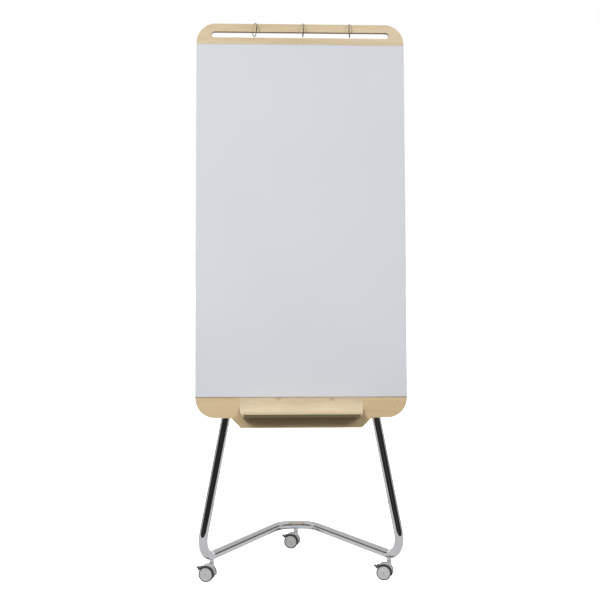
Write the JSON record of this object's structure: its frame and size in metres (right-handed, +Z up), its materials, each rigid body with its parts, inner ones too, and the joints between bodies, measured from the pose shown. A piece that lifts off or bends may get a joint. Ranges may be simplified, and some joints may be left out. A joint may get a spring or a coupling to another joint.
{
  "type": "mobile flipchart easel",
  "caption": "Leaning plywood board with a white writing panel, slot with snap rings and a pen tray, on a bent chromed tube frame with braked twin-wheel casters.",
  "frame": {"origin": "floor point under the middle of the whole easel", "axes": "+X to the right of a person facing the board, -Y towards that person, +Z up; the board leans back 7 degrees"},
  "size_m": [0.7, 0.5694, 1.8749],
  "materials": {
    "birch_ply": "clear satin lacquer",
    "white_panel": "satin white laminate",
    "chrome_tube": "bright chrome plate",
    "zinc_steel": "zinc plated",
    "nickel_wire": "bright nickel plate",
    "light_grey_plastic": "satin moulded",
    "dark_grey_plastic": "satin moulded",
    "white_nylon": "plain",
    "tyre_tread": "soft grey-black tread"
  },
  "bodies": {
    "easel": {"board": "birch_ply", "writing_panel": "white_panel", "pen_tray": "birch_ply", "tray_screws": "zinc_steel", "frame_tube": "chrome_tube", "leg_caps": "dark_grey_plastic", "leg_clamps": "chrome_tube", "clamp_pads": "dark_grey_plastic", "clamp_screws": "zinc_steel", "caster_sockets": "chrome_tube", "left_caster_stem": "zinc_steel", "right_caster_stem": "zinc_steel", "rear_caster_stem": "zinc_steel"},
    "left_caster_fork": {"left_caster_housing": "light_grey_plastic", "left_caster_hood": "dark_grey_plastic", "left_caster_bush": "white_nylon", "left_caster_brake_pin": "zinc_steel"},
    "left_caster_wheels": {"left_caster_axle": "zinc_steel", "left_caster_inner_wheel": "light_grey_plastic", "left_caster_outer_wheel": "light_grey_plastic", "left_caster_tyres": "tyre_tread"},
    "left_caster_brake": {"left_caster_brake_lever": "dark_grey_plastic"},
    "right_caster_fork": {"right_caster_housing": "light_grey_plastic", "right_caster_hood": "dark_grey_plastic", "right_caster_bush": "white_nylon", "right_caster_brake_pin": "zinc_steel"},
    "right_caster_wheels": {"right_caster_axle": "zinc_steel", "right_caster_inner_wheel": "light_grey_plastic", "right_caster_outer_wheel": "light_grey_plastic", "right_caster_tyres": "tyre_tread"},
    "right_caster_brake": {"right_caster_brake_lever": "dark_grey_plastic"},
    "rear_caster_fork": {"rear_caster_housing": "light_grey_plastic", "rear_caster_hood": "dark_grey_plastic", "rear_caster_bush": "white_nylon", "rear_caster_brake_pin": "zinc_steel"},
    "rear_caster_wheels": {"rear_caster_axle": "zinc_steel", "rear_caster_inner_wheel": "light_grey_plastic", "rear_caster_outer_wheel": "light_grey_plastic", "rear_caster_tyres": "tyre_tread"},
    "rear_caster_brake": {"rear_caster_brake_lever": "dark_grey_plastic"},
    "left_ring": {"left_ring_lower_half": "nickel_wire", "left_ring_pin": "nickel_wire"},
    "left_ring_gate": {"left_ring_upper_half": "nickel_wire"},
    "middle_ring": {"middle_ring_lower_half": "nickel_wire", "middle_ring_pin": "nickel_wire"},
    "middle_ring_gate": {"middle_ring_upper_half": "nickel_wire"},
    "right_ring": {"right_ring_lower_half": "nickel_wire", "right_ring_pin": "nickel_wire"},
    "right_ring_gate": {"right_ring_upper_half": "nickel_wire"}
  },
  "joints": [
    {"name": "left_caster_swivel", "type": "hinge", "parent": "easel", "child": "left_caster_fork", "pos_m": [-0.298, -0.16473, 0.057], "axis": [0, 0, 1], "continuous": true},
    {"name": "left_caster_roll", "type": "hinge", "parent": "left_caster_fork", "child": "left_caster_wheels", "pos_m": [-0.31345, -0.16059, 0.025], "axis": [-0.2588, -0.9659, 0], "continuous": true},
    {"name": "left_caster_brake_press", "type": "hinge", "parent": "left_caster_fork", "child": "left_caster_brake", "pos_m": [-0.3368, -0.15433, 0.04192], "axis": [-0.2588, -0.9659, 0], "range_deg": [0, 22]},
    {"name": "right_caster_swivel", "type": "hinge", "parent": "easel", "child": "right_caster_fork", "pos_m": [0.298, -0.16473, 0.057], "axis": [0, 0, 1], "continuous": true},
    {"name": "right_caster_roll", "type": "hinge", "parent": "right_caster_fork", "child": "right_caster_wheels", "pos_m": [0.28254, -0.16059, 0.025], "axis": [-0.2588, -0.9659, 0], "continuous": true},
    {"name": "right_caster_brake_press", "type": "hinge", "parent": "right_caster_fork", "child": "right_caster_brake", "pos_m": [0.2592, -0.15433, 0.04192], "axis": [-0.2588, -0.9659, 0], "range_deg": [0, 22]},
    {"name": "rear_caster_swivel", "type": "hinge", "parent": "easel", "child": "rear_caster_fork", "pos_m": [0, 0.25614, 0.057], "axis": [0, 0, 1], "continuous": true},
    {"name": "rear_caster_roll", "type": "hinge", "parent": "rear_caster_fork", "child": "rear_caster_wheels", "pos_m": [-0.01545, 0.26028, 0.025], "axis": [-0.2588, -0.9659, 0], "continuous": true},
    {"name": "rear_caster_brake_press", "type": "hinge", "parent": "rear_caster_fork", "child": "rear_caster_brake", "pos_m": [-0.0388, 0.26654, 0.04192], "axis": [-0.2588, -0.9659, 0], "range_deg": [0, 22]},
    {"name": "left_ring_slide", "type": "slide", "parent": "easel", "child": "left_ring", "axis": [1, 0, 0], "range_m": [-0.12, 0.06]},
    {"name": "left_ring_open", "type": "hinge", "parent": "left_ring", "child": "left_ring_gate", "pos_m": [-0.14792, -0.06341, 1.85356], "axis": [0.9563, 0.2902, -0.0356], "range_deg": [0, 75]},
    {"name": "middle_ring_slide", "type": "slide", "parent": "easel", "child": "middle_ring", "axis": [1, 0, 0], "range_m": [-0.06, 0.06]},
    {"name": "middle_ring_open", "type": "hinge", "parent": "middle_ring", "child": "middle_ring_gate", "pos_m": [0.00939, -0.06438, 1.85368], "axis": [0.9998, 0.0173, -0.0021], "range_deg": [0, 75]},
    {"name": "right_ring_slide", "type": "slide", "parent": "easel", "child": "right_ring", "axis": [1, 0, 0], "range_m": [-0.06, 0.11]},
    {"name": "right_ring_open", "type": "hinge", "parent": "right_ring", "child": "right_ring_gate", "pos_m": [0.16387, -0.06417, 1.85366], "axis": [0.9903, -0.1381, 0.017], "range_deg": [0, 75]}
  ]
}
